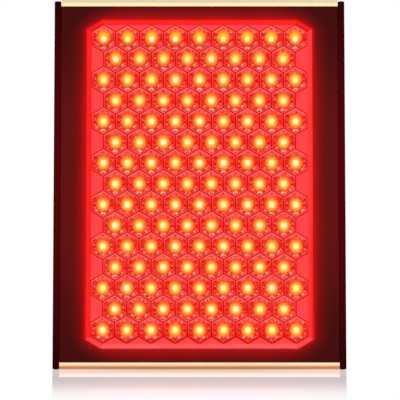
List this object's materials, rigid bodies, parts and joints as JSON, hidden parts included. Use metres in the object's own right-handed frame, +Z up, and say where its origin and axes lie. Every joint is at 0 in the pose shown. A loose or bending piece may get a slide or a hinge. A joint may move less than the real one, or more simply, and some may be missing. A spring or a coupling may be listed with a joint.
{
  "type": "red light therapy panel",
  "caption": "Upright table-top light therapy panel with a honeycomb lens window, dark case, gold end bars, rear fans, mains inlet and rocker switches.",
  "frame": {"origin": "middle of the panel's footprint, on the surface it stands on", "axes": "+Z up along the panel's height, -Y out of the lit front, +X to the right seen from the front"},
  "size_m": [0.267, 0.06, 0.3394],
  "materials": {
    "black_anodised": "fine bead-blasted black anodising",
    "champagne_anodised": "satin champagne-gold anodising",
    "black_paint": "fine-textured black powder coat",
    "red_lens": "clear polished plastic lit from behind in red",
    "silicone": "matt black silicone",
    "led_board": "white solder mask on a metal-core board",
    "thermal_pad": "matt grey-blue pad",
    "aluminium": "plain extruded aluminium",
    "steel": "zinc-plated steel",
    "black_screw": "black-oxide steel",
    "circuit_board": "green solder mask",
    "black_plastic": "moulded black plastic, satin",
    "red_rocker": "translucent red plastic, glossy",
    "fan_plastic": "moulded black plastic, satin",
    "plated_brass": "nickel-plated brass",
    "wire_insulation": "black wire insulation"
  },
  "bodies": {
    "housing": {"side_rail_left": "black_anodised", "side_rail_right": "black_anodised", "top_end_cap": "champagne_anodised", "bottom_end_cap": "champagne_anodised", "front_panel": "black_paint", "rear_cover": "black_paint", "lens_plate": "red_lens", "lens_gasket": "silicone", "led_board": "led_board", "thermal_pad": "thermal_pad", "heat_sink": "aluminium", "standoff_lower_left": "steel", "standoff_upper_left": "steel", "standoff_lower_right": "steel", "standoff_upper_right": "steel", "led_driver_red": "circuit_board", "led_driver_infrared": "circuit_board", "power_inlet": "black_plastic", "inlet_pin_line": "plated_brass", "inlet_pin_neutral": "plated_brass", "inlet_pin_earth": "plated_brass", "switch_body_red": "black_plastic", "switch_body_infrared": "black_plastic", "fan_frame_left": "fan_plastic", "fan_frame_right": "fan_plastic", "fan_guard_left": "steel", "fan_guard_right": "steel", "fan_screw_left_1": "steel", "fan_screw_left_2": "steel", "fan_screw_left_3": "steel", "fan_screw_left_4": "steel", "fan_screw_right_1": "steel", "fan_screw_right_2": "steel", "fan_screw_right_3": "steel", "fan_screw_right_4": "steel", "side_screw_left_front_lower": "black_screw", "side_screw_left_front_upper": "black_screw", "side_screw_left_rear_lower": "black_screw", "side_screw_left_rear_upper": "black_screw", "side_screw_right_front_lower": "black_screw", "side_screw_right_front_upper": "black_screw", "side_screw_right_rear_lower": "black_screw", "side_screw_right_rear_upper": "black_screw", "top_cap_screw_left": "steel", "top_cap_screw_right": "steel", "bottom_cap_screw_left": "steel", "bottom_cap_screw_right": "steel", "inlet_screw_left": "steel", "inlet_screw_right": "steel", "hanger_bolt_left": "steel", "hanger_bolt_right": "steel", "mains_wiring": "wire_insulation", "switch_wiring": "wire_insulation", "led_wiring": "wire_insulation", "fan_lead_left": "wire_insulation", "fan_lead_right": "wire_insulation"},
    "left_rotor": {"fan_rotor_left": "fan_plastic"},
    "right_rotor": {"fan_rotor_right": "fan_plastic"},
    "red_rocker": {"rocker_red": "red_rocker"},
    "infrared_rocker": {"rocker_infrared": "black_plastic"}
  },
  "joints": [
    {"name": "left_fan_spin", "type": "hinge", "parent": "housing", "child": "left_rotor", "pos_m": [-0.058, 0.018, 0.215], "axis": [0, 1, 0], "continuous": true},
    {"name": "right_fan_spin", "type": "hinge", "parent": "housing", "child": "right_rotor", "pos_m": [0.058, 0.018, 0.215], "axis": [0, 1, 0], "continuous": true},
    {"name": "red_switch_tilt", "type": "hinge", "parent": "housing", "child": "red_rocker", "pos_m": [0.06, 0.0256, 0.04], "axis": [-1, 0, 0], "range_deg": [0, 16]},
    {"name": "infrared_switch_tilt", "type": "hinge", "parent": "housing", "child": "infrared_rocker", "pos_m": [0.088, 0.0256, 0.04], "axis": [-1, 0, 0], "range_deg": [0, 16]}
  ]
}
